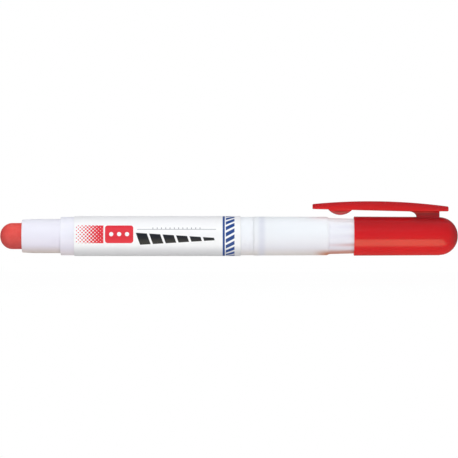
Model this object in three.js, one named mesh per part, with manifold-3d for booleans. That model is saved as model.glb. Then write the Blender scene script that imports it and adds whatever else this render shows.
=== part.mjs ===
// Solid paint marker: a wax-like paint stick fed by a twist knob, with its cap posted on the tail.
// Millimetres. The marker lies along X with the paint tip at -X and the pocket clip up (+Z).
// The origin is below the middle of the marker's length, at the lowest point of the label.

import * as THREE from "three";
import { mergeVertices } from "three/addons/utils/BufferGeometryUtils.js";
import Module from "manifold-3d";

const wasm = await Module();
wasm.setup();

// Turned shapes: an even number of sides, with a flat at the bottom
const sides = 48;
const edgeBreak = 0.15;
const innerSides = 24; // of the screw and the stick carrier
const domeSteps = 8;
const cornerSteps = 3;
const cutterSides = 12;
const overshoot = 1; // how far cutters reach past what they cut
const weldDistance = 1e-4; // points nearer than this are one point
const onAxis = 1e-9; // radii below this lie on the axis

// Clearances
const slideGap = 0.1; // between turned pieces that slide or turn in one another
const flangeGap = 0.15; // round the carrier's flange, which runs the barrel's whole bore
const pressGap = 0.05; // round a piece that is pressed or cast in place
const stopGap = 0.3; // left in front of an end stop
const threadGap = 0.2; // all round the drive thread

// Paint stick and its feed
const stickDiameter = 8.0;
const tipProtrusion = 6.7;
const tipDomeLength = 3.65;
const retractTravel = 7.5;
const advanceTravel = 37.5;
const rimRecess = 0.4; // the cup's rim stays this far inside the mouth at full feed

// Barrel
const nozzleLength = 11.8;
const nozzleTaperLength = 3.3;
const nozzleMouthDiameter = 10.0;
const nozzleDiameter = 10.4;
const nozzleBoreGap = 0.2; // between the stick and the nozzle's bore
const barrelLength = 58.8; // from the collar's front face to the knob
const barrelDiameter = 11.75;
const barrelBore = 8.8;
const noseWall = 1.8; // between the collar's front face and the wide bore
const spigotLength = 6.0;
const spigotDiameter = 10.0;
const beadOffset = 2.45; // from the knob's front edge to the snap bead
const beadWidth = 0.9;
const beadHeight = 0.2;

// Keys that stop the stick carrier from turning
const keyCount = 4;
const keyWidth = 1.4;
const keyHeight = 0.6; // above the wide bore
const keyGap = 0.12;

// Label sleeve
const labelInset = 4.2; // from the collar's front face
const labelLength = 50.65;
const labelThickness = 0.195;
const labelGap = 0.03;

// Stick carrier
const cupDepth = 8.0;
const cupWall = 0.55;
const cupFloor = 1.2;
const neckDiameter = 6.4;
const flangeThickness = 2.4;
const stemWall = 0.6;
const nutLength = 4.5;
const nutWall = 0.9;

// Drive screw, a coarse left-hand thread: turning the knob clockwise, seen from the tail, feeds the stick
const lead = 3.0;
const screwDiameter = 4.0;
const threadDepth = 0.6;
const threadRootWidth = 1.5;
const threadCrestWidth = 0.8;
const threadStepsPerTurn = 12;
const screwLeadIn = 0.8;
const bossThickness = 3.0;

// Twist knob and its fluted tail
const knobLength = 22.7;
const knobFrontDiameter = 11.9;
const knobRearDiameter = 11.75;
const knobCornerRadius = 0.35;
const knobBore = 8.6;
const tailShown = 7.85;
const tailFrontDiameter = 11.06;
const tailEndDiameter = 10.4;
const tailCornerRadius = 0.6;
const endWall = 1.2;
const fluteCount = 12;
const fluteRadius = 1.3;
const fluteInset = 0.6; // from the step to where the flutes start
const fluteStartDepth = 0.06;
const fluteEndDepth = 0.34;

// Cap
const capLength = 31.75;
const capDomeLength = 5.6;
const capMouthDiameter = 12.0;
const capRearDiameter = 11.74;
const capDomeDiameter = 11.58;
const capEndWall = 1.45;
const capMouthLeadIn = 0.3;
const linerWall = 0.45;
const linerRimThickness = 0.6;
const linerLength = 11.5;
const linerSeatWidth = 0.35;

// Pocket clip, measured from the cap's mouth and from the marker's axis
const clipFront = -12.6;
const clipRear = 28.8;
const clipRootWidth = 5.2;
const clipTipWidth = 4.2;
const clipTipRadius = 1.6;
const clipCrownAt = 4.8;
const clipCrownHeight = 10.62;
const clipCrownRadius = 178;
const clipFrontUnderside = 8.24;
const clipRearUnderside = 7.52;
const clipEdgeRadius = 0.4;
const clipCornerExtra = 0.2; // the bar's end corners are rounded this much more than its edges
const clipBumpAt = -4.1;
const clipBumpHeight = 6.42;
const clipBumpRadius = 4.9;
const clipSplitAt = 16.5; // where the springy arm leaves its root
const pedestalFront = 19.1;
const pedestalRear = 26.15;
const pedestalWidth = 2.6;
const pedestalFillet = 2.4;
const pedestalSink = 0.7; // how deep the foot is set into the cap's wall

// Values worked out from the sizes above
const stickRadius = stickDiameter / 2;
const nozzleBoreRadius = stickRadius + nozzleBoreGap;
const boreRadius = barrelBore / 2;
const barrelRadius = barrelDiameter / 2;
const spigotRadius = spigotDiameter / 2;
const labelRadius = barrelRadius + labelGap + labelThickness;
const seamAt = nozzleLength + barrelLength;
const keyStopAt = nozzleLength + noseWall;
const flangeAt = keyStopAt + stopGap + advanceTravel;
const rimAt = rimRecess + advanceTravel;
const cupLength = flangeAt - rimAt;
const screwRadius = screwDiameter / 2;
const coreRadius = screwRadius - threadDepth;
const stemBoreRadius = screwRadius + threadGap;
const stepAt = seamAt + knobLength;
const capMouthAt = stepAt + tailShown;
const capSeatDepth = nozzleLength; // the same seat meets the nozzle's mouth when the cap closes the marker
const tailEndAt = capMouthAt + capSeatDepth - stopGap;
const bossAt = tailEndAt - endWall - bossThickness;
const stemEndAt = bossAt - stopGap - retractTravel;
const stemLength = stemEndAt - flangeAt - flangeThickness;
const screwTipAt = stemEndAt - nutLength - advanceTravel - screwLeadIn;
const clipCornerRadius = clipEdgeRadius + clipCornerExtra;
const overallLength = tipProtrusion + capMouthAt + capLength;
const axisHeight = labelRadius * Math.cos(Math.PI / sides);

// Joins and cuts

// A closed geometry as a solid that can be joined and cut.
function solidOf(geometry) {
  const bare = geometry.index ? geometry.toNonIndexed() : geometry.clone();
  bare.deleteAttribute("normal");
  bare.deleteAttribute("uv");
  const merged = mergeVertices(bare, weldDistance);
  return new wasm.Manifold(
    new wasm.Mesh({
      numProp: 3,
      vertProperties: merged.attributes.position.array,
      triVerts: new Uint32Array(merged.index.array),
    }),
  );
}

function geometryOf(solid) {
  const mesh = solid.getMesh();
  const geometry = new THREE.BufferGeometry();
  geometry.setAttribute("position", new THREE.BufferAttribute(mesh.vertProperties, 3));
  geometry.setIndex(new THREE.BufferAttribute(mesh.triVerts, 1));
  const faceted = geometry.toNonIndexed();
  faceted.computeVertexNormals();
  return faceted;
}

// Turned shapes

// Revolves [x, radius] points round the X axis. Outside points go towards +X and inside points back.
function turned(profile, sideCount = sides) {
  const points = profile.map(([x, radius]) => new THREE.Vector2(radius, x));
  const geometry = new THREE.LatheGeometry(points, sideCount, Math.PI / sideCount);
  return geometry.rotateZ(-Math.PI / 2);
}

// The same for a profile that closes on itself without reaching the axis.
function turnedRing(profile, sideCount = sides) {
  return turned([...profile, profile[0]], sideCount);
}

// Points of a quarter ellipse round (x, radius), from angle a to angle b in quarter turns.
function quarter(x, radius, halfLength, halfHeight, from, to, steps) {
  return Array.from({ length: steps + 1 }, (_, i) => {
    const angle = (Math.PI / 2) * (from + ((to - from) * i) / steps);
    const height = radius + halfHeight * Math.sin(angle);
    return [x + halfLength * Math.cos(angle), Math.abs(height) < onAxis ? 0 : height];
  });
}

// A box by its corners in x, y and z.
function boxBetween(x0, x1, y0, y1, z0, z1) {
  const box = new THREE.BoxGeometry(x1 - x0, y1 - y0, z1 - z0);
  return box.translate((x0 + x1) / 2, (y0 + y1) / 2, (z0 + z1) / 2);
}

// Copies of a geometry at even angles round the X axis, starting a given angle from the top.
function around(count, start, make) {
  return Array.from({ length: count }, (_, i) => {
    return solidOf(make().rotateX(start + (2 * Math.PI * i) / count));
  });
}

// Drive thread

// A helical ridge round X between two stations. Its flanks lie where x + lead * angle / turn is constant.
function threadRidge(from, to, phaseAt, rootRadius, crestRadius, rootWidth, crestWidth) {
  const steps = Math.ceil(((to - from) / lead) * threadStepsPerTurn);
  const section = [
    [-rootWidth / 2, rootRadius],
    [-crestWidth / 2, crestRadius],
    [crestWidth / 2, crestRadius],
    [rootWidth / 2, rootRadius],
  ];
  const positions = [];
  for (let i = 0; i <= steps; i++) {
    const x = from + (i * lead) / threadStepsPerTurn;
    const angle = (-2 * Math.PI * (x - phaseAt)) / lead;
    for (const [dx, radius] of section) {
      positions.push(x + dx, -radius * Math.sin(angle), radius * Math.cos(angle));
    }
  }
  const faces = [];
  const corners = section.length;
  for (let i = 0; i < steps; i++) {
    for (let j = 0; j < corners; j++) {
      const a = i * corners + j;
      const b = i * corners + ((j + 1) % corners);
      faces.push(a, b, a + corners);
      faces.push(b, b + corners, a + corners);
    }
  }
  const last = steps * corners;
  faces.push(0, 2, 1, 0, 3, 2);
  faces.push(last, last + 1, last + 2, last, last + 2, last + 3);
  const geometry = new THREE.BufferGeometry();
  geometry.setAttribute("position", new THREE.Float32BufferAttribute(positions, 3));
  geometry.setIndex(faces);
  return geometry;
}

// Barrel, from the nozzle's mouth

function barrelShape() {
  const nozzleRadius = nozzleDiameter / 2;
  const mouthRadius = nozzleMouthDiameter / 2;
  const beadAt = seamAt + beadOffset;
  const spigotEnd = seamAt + spigotLength;
  const body = turnedRing([
    [0, nozzleBoreRadius],
    [0, mouthRadius - 2 * edgeBreak],
    [2 * edgeBreak, mouthRadius],
    [nozzleTaperLength, nozzleRadius],
    [nozzleLength, nozzleRadius],
    [nozzleLength, barrelRadius - edgeBreak],
    [nozzleLength + edgeBreak, barrelRadius],
    [seamAt - edgeBreak, barrelRadius],
    [seamAt, barrelRadius - edgeBreak],
    [seamAt, spigotRadius],
    [beadAt, spigotRadius],
    [beadAt + beadWidth / 4, spigotRadius + beadHeight],
    [beadAt + (3 * beadWidth) / 4, spigotRadius + beadHeight],
    [beadAt + beadWidth, spigotRadius],
    [spigotEnd - beadHeight, spigotRadius],
    [spigotEnd, spigotRadius - beadHeight],
    [spigotEnd, boreRadius],
    [keyStopAt, boreRadius],
    [keyStopAt - noseWall / 2, nozzleBoreRadius],
  ]);
  const halfWidth = keyWidth / 2 + keyGap;
  const grooveTop = boreRadius + keyHeight + keyGap;
  const slotTop = spigotRadius + 2 * beadHeight;
  const inBore = boreRadius / 2;
  const grooves = around(keyCount, 0, () =>
    boxBetween(keyStopAt, spigotEnd + overshoot, -halfWidth, halfWidth, inBore, grooveTop),
  );
  const slots = around(keyCount, 0, () =>
    boxBetween(seamAt + edgeBreak, spigotEnd + overshoot, -halfWidth, halfWidth, inBore, slotTop),
  );
  const cut = [...grooves, ...slots].reduce((part, tool) => part.subtract(tool), solidOf(body));
  return geometryOf(cut);
}

function labelShape() {
  const front = nozzleLength + labelInset;
  const inner = barrelRadius + labelGap;
  return turnedRing([
    [front, inner],
    [front, labelRadius],
    [front + labelLength, labelRadius],
    [front + labelLength, inner],
  ]);
}

// Stick and carrier, from the carrier's rim

function stickShape() {
  const exposed = tipProtrusion + rimAt;
  const footRadius = stickRadius - cupWall - pressGap;
  const dome = quarter(tipDomeLength - exposed, 0, tipDomeLength, stickRadius, 2, 1, domeSteps);
  return turned([
    ...dome,
    [0, stickRadius],
    [0, footRadius],
    [cupDepth - pressGap, footRadius],
    [cupDepth - pressGap, 0],
  ]);
}

function carrierShape() {
  const cupBore = stickRadius - cupWall;
  const cupEnd = cupDepth + cupFloor;
  const neckRadius = neckDiameter / 2;
  const flangeRadius = boreRadius - flangeGap;
  const stemRadius = stemBoreRadius + stemWall;
  const nutRadius = stemBoreRadius + nutWall;
  const stemAt = cupLength + flangeThickness;
  const stemEnd = stemAt + stemLength;
  const nutAt = stemEnd - nutLength;
  const boreEnd = screwTipAt - rimAt - retractTravel - stopGap;
  const body = turned([
    [cupDepth, 0],
    [cupDepth, cupBore],
    [0, cupBore],
    [0, stickRadius],
    [cupEnd, stickRadius],
    [cupEnd, neckRadius],
    [cupLength, neckRadius],
    [cupLength, flangeRadius],
    [stemAt, flangeRadius],
    [stemAt, stemRadius],
    [nutAt, stemRadius],
    [nutAt, nutRadius],
    [stemEnd, nutRadius],
    [stemEnd, coreRadius + threadGap],
    [nutAt, coreRadius + threadGap],
    [nutAt, stemBoreRadius],
    [boreEnd, stemBoreRadius],
    [boreEnd, 0],
  ], innerSides);
  const keys = around(keyCount, 0, () =>
    boxBetween(cupLength, stemAt, -keyWidth / 2, keyWidth / 2, neckRadius, boreRadius + keyHeight),
  );
  const thread = threadRidge(
    nutAt - lead,
    stemEnd + lead,
    bossAt - rimAt,
    coreRadius,
    screwRadius + threadGap,
    threadRootWidth + 2 * threadGap,
    threadCrestWidth + 2 * threadGap,
  );
  const keyed = keys.reduce((part, key) => part.add(key), solidOf(body));
  return geometryOf(keyed.subtract(solidOf(thread)));
}

// Knob and screw, from the knob's front edge

// The tail's outer radius at a distance behind the step.
function tailRadiusAt(behindStep) {
  const share = behindStep / (tailEndAt - stepAt);
  return (tailFrontDiameter + (tailEndDiameter - tailFrontDiameter) * share) / 2;
}

function fluteCutter() {
  const start = stepAt + fluteInset - seamAt;
  const end = tailEndAt - seamAt + tailCornerRadius;
  const startHeight = tailRadiusAt(fluteInset) + fluteRadius - fluteStartDepth;
  const endHeight = tailEndDiameter / 2 + fluteRadius - fluteEndDepth;
  const length = Math.hypot(end - start, endHeight - startHeight);
  const slope = Math.atan2(endHeight - startHeight, end - start);
  return new THREE.CylinderGeometry(fluteRadius, fluteRadius, length, cutterSides)
    .rotateZ(Math.PI / 2)
    .rotateY(-slope)
    .translate((start + end) / 2, 0, (startHeight + endHeight) / 2);
}

// Its points are listed from the tail's end forward, so they are reversed before they are turned.
function knobShape() {
  const frontRadius = knobFrontDiameter / 2;
  const rearRadius = knobRearDiameter / 2;
  const skirtRadius = spigotRadius + slideGap;
  const skirtDepth = spigotLength + stopGap;
  const tailEnd = tailEndAt - seamAt;
  const floorAt = bossAt + bossThickness - seamAt;
  const beadRadius = skirtRadius + beadHeight;
  const body = turned([
    [tailEnd, 0],
    ...quarter(
      tailEnd - tailCornerRadius,
      tailEndDiameter / 2 - tailCornerRadius,
      tailCornerRadius,
      tailCornerRadius,
      0,
      1,
      cornerSteps,
    ),
    [knobLength, tailFrontDiameter / 2],
    ...quarter(
      knobLength - knobCornerRadius,
      rearRadius - knobCornerRadius,
      knobCornerRadius,
      knobCornerRadius,
      0,
      1,
      cornerSteps,
    ),
    [edgeBreak, frontRadius],
    [0, frontRadius - edgeBreak],
    [0, skirtRadius + edgeBreak],
    [edgeBreak, skirtRadius],
    [beadOffset - slideGap, skirtRadius],
    [beadOffset - slideGap, beadRadius],
    [beadOffset + beadWidth + slideGap, beadRadius],
    [beadOffset + beadWidth + slideGap, skirtRadius],
    [skirtDepth, skirtRadius],
    [skirtDepth, knobBore / 2],
    [floorAt, knobBore / 2],
    [floorAt, 0],
  ].reverse());
  const flutes = around(fluteCount, 0, fluteCutter);
  return geometryOf(flutes.reduce((part, flute) => part.subtract(flute), solidOf(body)));
}

function screwShape() {
  const tip = screwTipAt - seamAt;
  const boss = bossAt - seamAt;
  const bossRadius = knobBore / 2 - pressGap;
  const body = turned([
    [tip, 0],
    [tip, coreRadius - edgeBreak],
    [tip + screwLeadIn, coreRadius],
    [boss, coreRadius],
    [boss, bossRadius],
    [boss + bossThickness - pressGap, bossRadius],
    [boss + bossThickness - pressGap, 0],
  ], innerSides);
  const thread = threadRidge(
    tip + screwLeadIn + threadRootWidth / 2,
    boss,
    boss,
    coreRadius - threadDepth / 2,
    screwRadius,
    threadRootWidth,
    threadCrestWidth,
  );
  return geometryOf(solidOf(body).add(solidOf(thread)));
}

// Cap and liner, from the cap's mouth

function capBoreRadiusAt(depth) {
  const mouth = tailRadiusAt(tailShown) + slideGap;
  const seat = tailEndDiameter / 2 + slideGap;
  return mouth + ((seat - mouth) * depth) / capSeatDepth;
}

function capShell() {
  const shoulderAt = capSeatDepth + linerRimThickness;
  const deepRadius = capBoreRadiusAt(capSeatDepth);
  const pocketRadius = deepRadius - linerSeatWidth;
  const domeAt = capLength - capDomeLength;
  const innerDomeLength = capDomeLength - capEndWall;
  return solidOf(turned([
    [capLength - capEndWall, 0],
    ...quarter(domeAt, 0, innerDomeLength, pocketRadius, 0, 1, domeSteps).slice(1),
    [shoulderAt, pocketRadius],
    [shoulderAt, deepRadius],
    [capMouthLeadIn, capBoreRadiusAt(capMouthLeadIn)],
    [0, capBoreRadiusAt(0) + edgeBreak],
    [0, capMouthDiameter / 2 - edgeBreak],
    [edgeBreak, capMouthDiameter / 2],
    [domeAt, capRearDiameter / 2],
    ...quarter(domeAt, 0, capDomeLength, capDomeDiameter / 2, 1, 0, domeSteps),
  ]));
}

function linerShape() {
  const rimRadius = capBoreRadiusAt(capSeatDepth) - pressGap;
  const sleeveRadius = rimRadius - linerSeatWidth;
  const boreEnd = capSeatDepth + linerLength - linerRimThickness;
  return turned([
    [boreEnd, 0],
    [boreEnd, sleeveRadius - linerWall],
    [capSeatDepth, sleeveRadius - linerWall],
    [capSeatDepth, rimRadius],
    [capSeatDepth + linerRimThickness, rimRadius],
    [capSeatDepth + linerRimThickness, sleeveRadius],
    [capSeatDepth + linerLength, sleeveRadius],
    [capSeatDepth + linerLength, 0],
  ]);
}

// Clip

function clipTopAt(x) {
  const off = x - clipCrownAt;
  return clipCrownHeight - clipCrownRadius + Math.sqrt(clipCrownRadius ** 2 - off ** 2);
}

function clipUndersideAt(x) {
  const share = (x - clipFront) / (clipSplitAt - clipFront);
  return clipFrontUnderside + (clipRearUnderside - clipFrontUnderside) * Math.min(share, 1);
}

// The bar's side outline in x and z: crowned on top, with the bump that grips cloth underneath.
function clipOutline() {
  const r = clipCornerRadius;
  const shape = new THREE.Shape();
  const bumpCentre = clipBumpHeight + clipBumpRadius;
  const reach = Math.sqrt(clipBumpRadius ** 2 - (bumpCentre - clipUndersideAt(clipBumpAt)) ** 2);
  const bumpAngle = Math.atan2(clipUndersideAt(clipBumpAt) - bumpCentre, reach);
  const topSteps = 14;
  shape.moveTo(clipFront, clipUndersideAt(clipFront) + r);
  shape.lineTo(clipFront, clipTopAt(clipFront + r) - r);
  shape.quadraticCurveTo(clipFront, clipTopAt(clipFront), clipFront + r, clipTopAt(clipFront + r));
  for (let i = 1; i < topSteps; i++) {
    const x = clipFront + r + ((clipRear - clipFront - 2 * r) * i) / topSteps;
    shape.lineTo(x, clipTopAt(x));
  }
  shape.lineTo(clipRear - r, clipTopAt(clipRear - r));
  shape.quadraticCurveTo(clipRear, clipTopAt(clipRear), clipRear, clipTopAt(clipRear) - r);
  shape.lineTo(clipRear, clipRearUnderside + r);
  shape.quadraticCurveTo(clipRear, clipRearUnderside, clipRear - r, clipRearUnderside);
  shape.lineTo(clipSplitAt, clipRearUnderside);
  shape.absarc(clipBumpAt, bumpCentre, clipBumpRadius, bumpAngle, -Math.PI - bumpAngle, true);
  shape.lineTo(clipFront + r, clipUndersideAt(clipFront + r));
  shape.quadraticCurveTo(clipFront, clipUndersideAt(clipFront), clipFront, clipUndersideAt(clipFront) + r);
  return shape;
}

// The bar's outline seen from above: it narrows to a rounded tip.
function clipPlan() {
  const half = clipTipWidth / 2;
  const shape = new THREE.Shape();
  shape.moveTo(clipRear + overshoot, -clipRootWidth / 2);
  shape.lineTo(clipRear + overshoot, clipRootWidth / 2);
  shape.lineTo(clipFront + clipTipRadius, half);
  shape.quadraticCurveTo(clipFront, half, clipFront, half - clipTipRadius);
  shape.lineTo(clipFront, clipTipRadius - half);
  shape.quadraticCurveTo(clipFront, -half, clipFront + clipTipRadius, -half);
  return shape;
}

function clipBar() {
  const outline = new THREE.ExtrudeGeometry(clipOutline(), {
    depth: clipRootWidth - 2 * clipEdgeRadius,
    curveSegments: 4,
    bevelThickness: clipEdgeRadius,
    bevelSize: clipEdgeRadius,
    bevelOffset: -clipEdgeRadius,
    bevelSegments: 2,
  });
  outline.translate(0, 0, clipEdgeRadius - clipRootWidth / 2).rotateX(Math.PI / 2);
  const plan = new THREE.ExtrudeGeometry(clipPlan(), {
    depth: clipCrownHeight + overshoot,
    curveSegments: 4,
    bevelEnabled: false,
  });
  return solidOf(outline).intersect(solidOf(plan));
}

// Everything of the bar on one side of the split.
function clipPart(from, to) {
  const half = clipRootWidth;
  const top = clipCrownHeight + overshoot;
  return clipBar().intersect(solidOf(boxBetween(from, to, -half, half, 0, top)));
}

// The foot that stands on the cap, with a hollow fillet in front.
function pedestalSolid() {
  const base = capRearDiameter / 2 - pedestalSink;
  const capTop = capRearDiameter / 2;
  const top = clipRearUnderside + clipEdgeRadius;
  const shape = new THREE.Shape();
  shape.moveTo(pedestalRear, base);
  shape.lineTo(pedestalRear, top);
  shape.lineTo(pedestalFront - pedestalFillet, top);
  shape.lineTo(pedestalFront - pedestalFillet, clipRearUnderside);
  shape.quadraticCurveTo(pedestalFront, clipRearUnderside, pedestalFront, capTop);
  shape.lineTo(pedestalFront, base);
  const geometry = new THREE.ExtrudeGeometry(shape, {
    depth: pedestalWidth,
    curveSegments: 5,
    bevelEnabled: false,
  });
  return solidOf(geometry.translate(0, 0, -pedestalWidth / 2).rotateX(Math.PI / 2));
}

function capShape() {
  const root = clipPart(clipSplitAt, clipRear + overshoot);
  return geometryOf(capShell().add(root).add(pedestalSolid()));
}

function clipArmShape() {
  return geometryOf(clipPart(clipFront - overshoot, clipSplitAt));
}

// Materials

function material(color, roughness, extra = {}) {
  return new THREE.MeshStandardMaterial({ color, roughness, metalness: 0, ...extra });
}

const white = () => material(0xe9ebf2, 0.38);
const print = () => material(0xf4f4f6, 0.3);
const paint = () => material(0xd93a35, 0.55);
const natural = () => material(0xdfe2e6, 0.45);
const red = () => material(0xcf2229, 0.16);
const liner = () => material(0xf1f1ee, 0.5);

// Assembly

function named(name, geometry, finish) {
  const mesh = new THREE.Mesh(geometry, finish);
  mesh.name = name;
  return mesh;
}

const body = new THREE.Group();
body.add(named("barrel", barrelShape(), white()));
body.add(named("label", labelShape(), print()));

const carriage = new THREE.Group();
carriage.position.x = rimAt;
carriage.add(named("stick_carrier", carrierShape(), natural()));
carriage.add(named("paint_stick", stickShape(), paint()));

const knob = new THREE.Group();
knob.position.x = seamAt;
knob.add(named("twist_knob", knobShape(), white()));
knob.add(named("drive_screw", screwShape(), natural()));

const cap = new THREE.Group();
cap.position.x = capMouthAt - seamAt;
cap.add(named("cap", capShape(), red()));
cap.add(named("cap_liner", linerShape(), liner()));
cap.add(named("clip_arm", clipArmShape(), red()));
knob.add(cap);

const marker = new THREE.Group();
marker.position.set(tipProtrusion - overallLength / 2, 0, axisHeight);
marker.add(body, carriage, knob);

const part = new THREE.Group();
part.add(marker);

export default part;
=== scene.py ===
"""The looks of the solid paint marker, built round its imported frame.

Metres, +Z up. The marker lies along X with its paint tip at -X and the pocket clip up.
"""

import math

import bmesh
import bpy
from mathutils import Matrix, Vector

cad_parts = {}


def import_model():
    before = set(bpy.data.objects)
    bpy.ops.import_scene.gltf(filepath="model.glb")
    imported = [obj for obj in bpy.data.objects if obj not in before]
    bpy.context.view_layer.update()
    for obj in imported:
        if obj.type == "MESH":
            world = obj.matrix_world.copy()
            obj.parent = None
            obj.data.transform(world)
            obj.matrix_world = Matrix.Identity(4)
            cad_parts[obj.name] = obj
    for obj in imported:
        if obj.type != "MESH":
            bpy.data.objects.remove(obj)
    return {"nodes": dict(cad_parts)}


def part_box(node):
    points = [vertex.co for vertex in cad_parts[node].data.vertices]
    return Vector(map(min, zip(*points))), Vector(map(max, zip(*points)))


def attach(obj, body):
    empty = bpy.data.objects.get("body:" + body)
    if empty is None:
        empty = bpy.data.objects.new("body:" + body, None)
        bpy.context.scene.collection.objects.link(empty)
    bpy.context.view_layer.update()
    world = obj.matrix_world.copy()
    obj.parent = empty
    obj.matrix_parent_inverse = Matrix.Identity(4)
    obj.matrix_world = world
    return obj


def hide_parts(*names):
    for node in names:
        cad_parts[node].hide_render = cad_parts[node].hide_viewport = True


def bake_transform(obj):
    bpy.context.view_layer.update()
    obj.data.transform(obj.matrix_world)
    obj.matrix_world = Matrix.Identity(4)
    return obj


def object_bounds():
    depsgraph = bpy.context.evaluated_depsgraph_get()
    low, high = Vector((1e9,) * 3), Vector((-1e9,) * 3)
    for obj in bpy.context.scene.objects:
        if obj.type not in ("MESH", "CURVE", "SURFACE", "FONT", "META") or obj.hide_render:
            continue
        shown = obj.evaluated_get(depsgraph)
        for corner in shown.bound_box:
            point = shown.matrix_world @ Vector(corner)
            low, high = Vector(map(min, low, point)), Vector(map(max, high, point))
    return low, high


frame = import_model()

MM = 0.001

cad_box = [list(corner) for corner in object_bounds()]

# Places that the frame gives

barrel_low, barrel_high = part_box("barrel")
label_low, label_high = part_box("label")
stick_low, stick_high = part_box("paint_stick")
knob_low, knob_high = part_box("twist_knob")
cap_low, cap_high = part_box("cap")
clip_low, clip_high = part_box("clip_arm")

AXIS = (label_low.z + label_high.z) / 2
MOUTH = barrel_low.x
SEAM = knob_low.x
TAIL_END = knob_high.x
CAP_MOUTH = cap_low.x
CAP_END = cap_high.x
CLIP_SPLIT = clip_high.x

# Barrel and label

NOZZLE_LENGTH = 11.8 * MM
NOZZLE_TAPER = 3.3 * MM
MOUTH_RADIUS = 5.0 * MM
NOZZLE_RADIUS = 5.2 * MM
NOZZLE_BORE = 4.2 * MM
BARREL_RADIUS = 5.86 * MM
BARREL_BORE = 4.4 * MM
BORE_CONE_FRONT = 0.9 * MM
BORE_CONE_REAR = 1.8 * MM
SPIGOT_RADIUS = 4.99 * MM
COLLAR_AT = MOUTH + NOZZLE_LENGTH
MOUTH_INNER_EDGE = 0.12 * MM
MOUTH_OUTER_EDGE = 0.35 * MM
TAPER_BLEND = 1.2 * MM
COLLAR_ROOT = 0.12 * MM
COLLAR_EDGE = 0.18 * MM
SPIGOT_EDGE = 0.3 * MM
SEAM_GAP = 0.01 * MM
SEAM_EDGE = 0.012 * MM
LABEL_RADIUS = (label_high.y - label_low.y) / 2
LABEL_GAP = 0.03 * MM
LABEL_EDGE = 0.08 * MM

# Paint stick

STICK_RADIUS = 3.99 * MM
STICK_FOOT_RADIUS = 3.38 * MM
DOME_LENGTH = 3.65 * MM
STICK_DOME_STEPS = 24
CUP_DEPTH = 7.95 * MM
WEAR_DEPTH = 0.02 * MM
WEAR_SHIFT = 0.6
WEAR_TWIST = 900

# Knob and its fluted tail

KNOB_LENGTH = 22.7 * MM
KNOB_FRONT_RADIUS = 5.94 * MM
KNOB_REAR_RADIUS = 5.86 * MM
KNOB_BORE = 4.3 * MM
KNOB_STEP = SEAM + KNOB_LENGTH
STEP_FRONT = KNOB_STEP - 0.4 * MM
STEP_REAR = KNOB_STEP + 0.3 * MM
STEP_BLEND = 0.5 * MM
SKIRT_RADIUS = 5.1 * MM
SKIRT_DEPTH = 6.3 * MM
SKIRT_EDGE = 0.1 * MM
TAIL_FRONT_RADIUS = 5.52 * MM
TAIL_END_RADIUS = 5.2 * MM
TAIL_END_WALL = 1.2 * MM
TAIL_EDGE = 0.6 * MM
TAIL_EDGE_STEPS = 5
TAIL_STEPS = 24
FLUTES = 12
FLUTES_FROM = KNOB_STEP + 0.5 * MM
FLUTE_START_DEPTH = 0.05 * MM
FLUTE_END_DEPTH = 0.34 * MM
FLUTE_NARROWNESS = 1.6
OUTSIDE_FROM = KNOB_BORE + 0.2 * MM  # only rings wider than this are fluted

# Cap

CAP_MOUTH_RADIUS = 5.99 * MM
CAP_REAR_RADIUS = 5.86 * MM
CAP_DOME_RADIUS = 5.78 * MM
CAP_DOME_LENGTH = 5.6 * MM
CAP_DOME_STEPS = 28
CAP_MOUTH_BORE = 5.42 * MM
CAP_SEAT_BORE = 5.3 * MM
CAP_BORE = 4.95 * MM
CAP_BORE_STEPS = 12
CAP_END_WALL = 1.45 * MM
CAP_SEAT_DEPTH = 11.8 * MM
CAP_SHOULDER = CAP_MOUTH + CAP_SEAT_DEPTH + 0.6 * MM
CAP_MOUTH_INNER_EDGE = 0.2 * MM
CAP_MOUTH_EDGE = 0.16 * MM
CAP_DOME_BLEND = 0.05 * MM

# Clip

CLIP_ROOT_HALF = 2.55 * MM
CLIP_TIP_HALF = 2.1 * MM
CLIP_TIP_RADIUS = 1.6 * MM
CLIP_REAR = CAP_MOUTH + 28.8 * MM
CROWN_AT = CAP_MOUTH + 4.8 * MM
CROWN_HEIGHT = clip_high.z
CROWN_RADIUS = 178 * MM
UNDERSIDE_FRONT = AXIS + 8.24 * MM
UNDERSIDE_REAR = AXIS + 7.52 * MM
CLIP_CORNER = 0.3 * MM
CLIP_CORNER_RINGS = 7
CLIP_RINGS = 70
CLIP_BLUNT = 0.25 * MM  # the tip's first rings are as wide as the bar is this far in
CLIP_TOP_EDGE = 0.6 * MM
CLIP_LOW_EDGE = 0.25 * MM
BUMP_AT = CAP_MOUTH - 4.1 * MM
BUMP_LOW = AXIS + 6.42 * MM
BUMP_RADIUS = 4.9 * MM
BUMP_HALF = 2.15 * MM
BUMP_RINGS = 28
BUMP_STEPS = 16
BUMP_LEAST = 0.01 * MM
BUMP_FULLNESS = 0.55
PEDESTAL_FRONT = CAP_MOUTH + 19.1 * MM
PEDESTAL_REAR = CAP_MOUTH + 26.12 * MM
PEDESTAL_LOW = AXIS + 5.0 * MM
PEDESTAL_HALF = 1.3 * MM
PEDESTAL_FILLET = 2.4 * MM
PEDESTAL_FLARE = 0.25 * MM
PEDESTAL_CORNER = 0.5 * MM
PEDESTAL_RINGS = 20
UNION_DEPTH = 0.5 * MM  # how far the bump and the foot reach into the bar

# Fineness of the meshes

SIDES = 192
FILLET_STEPS = 5
CORNER_STEPS = 8
SHARP_ANGLE = 40
CLIP_SHARP_ANGLE = 16
FILLET_LIMIT = 0.48  # of the shorter side beside it
CORNER_LIMIT = 0.49  # of a section's shorter side
ON_AXIS = 1e-7


# Meshes

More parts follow.
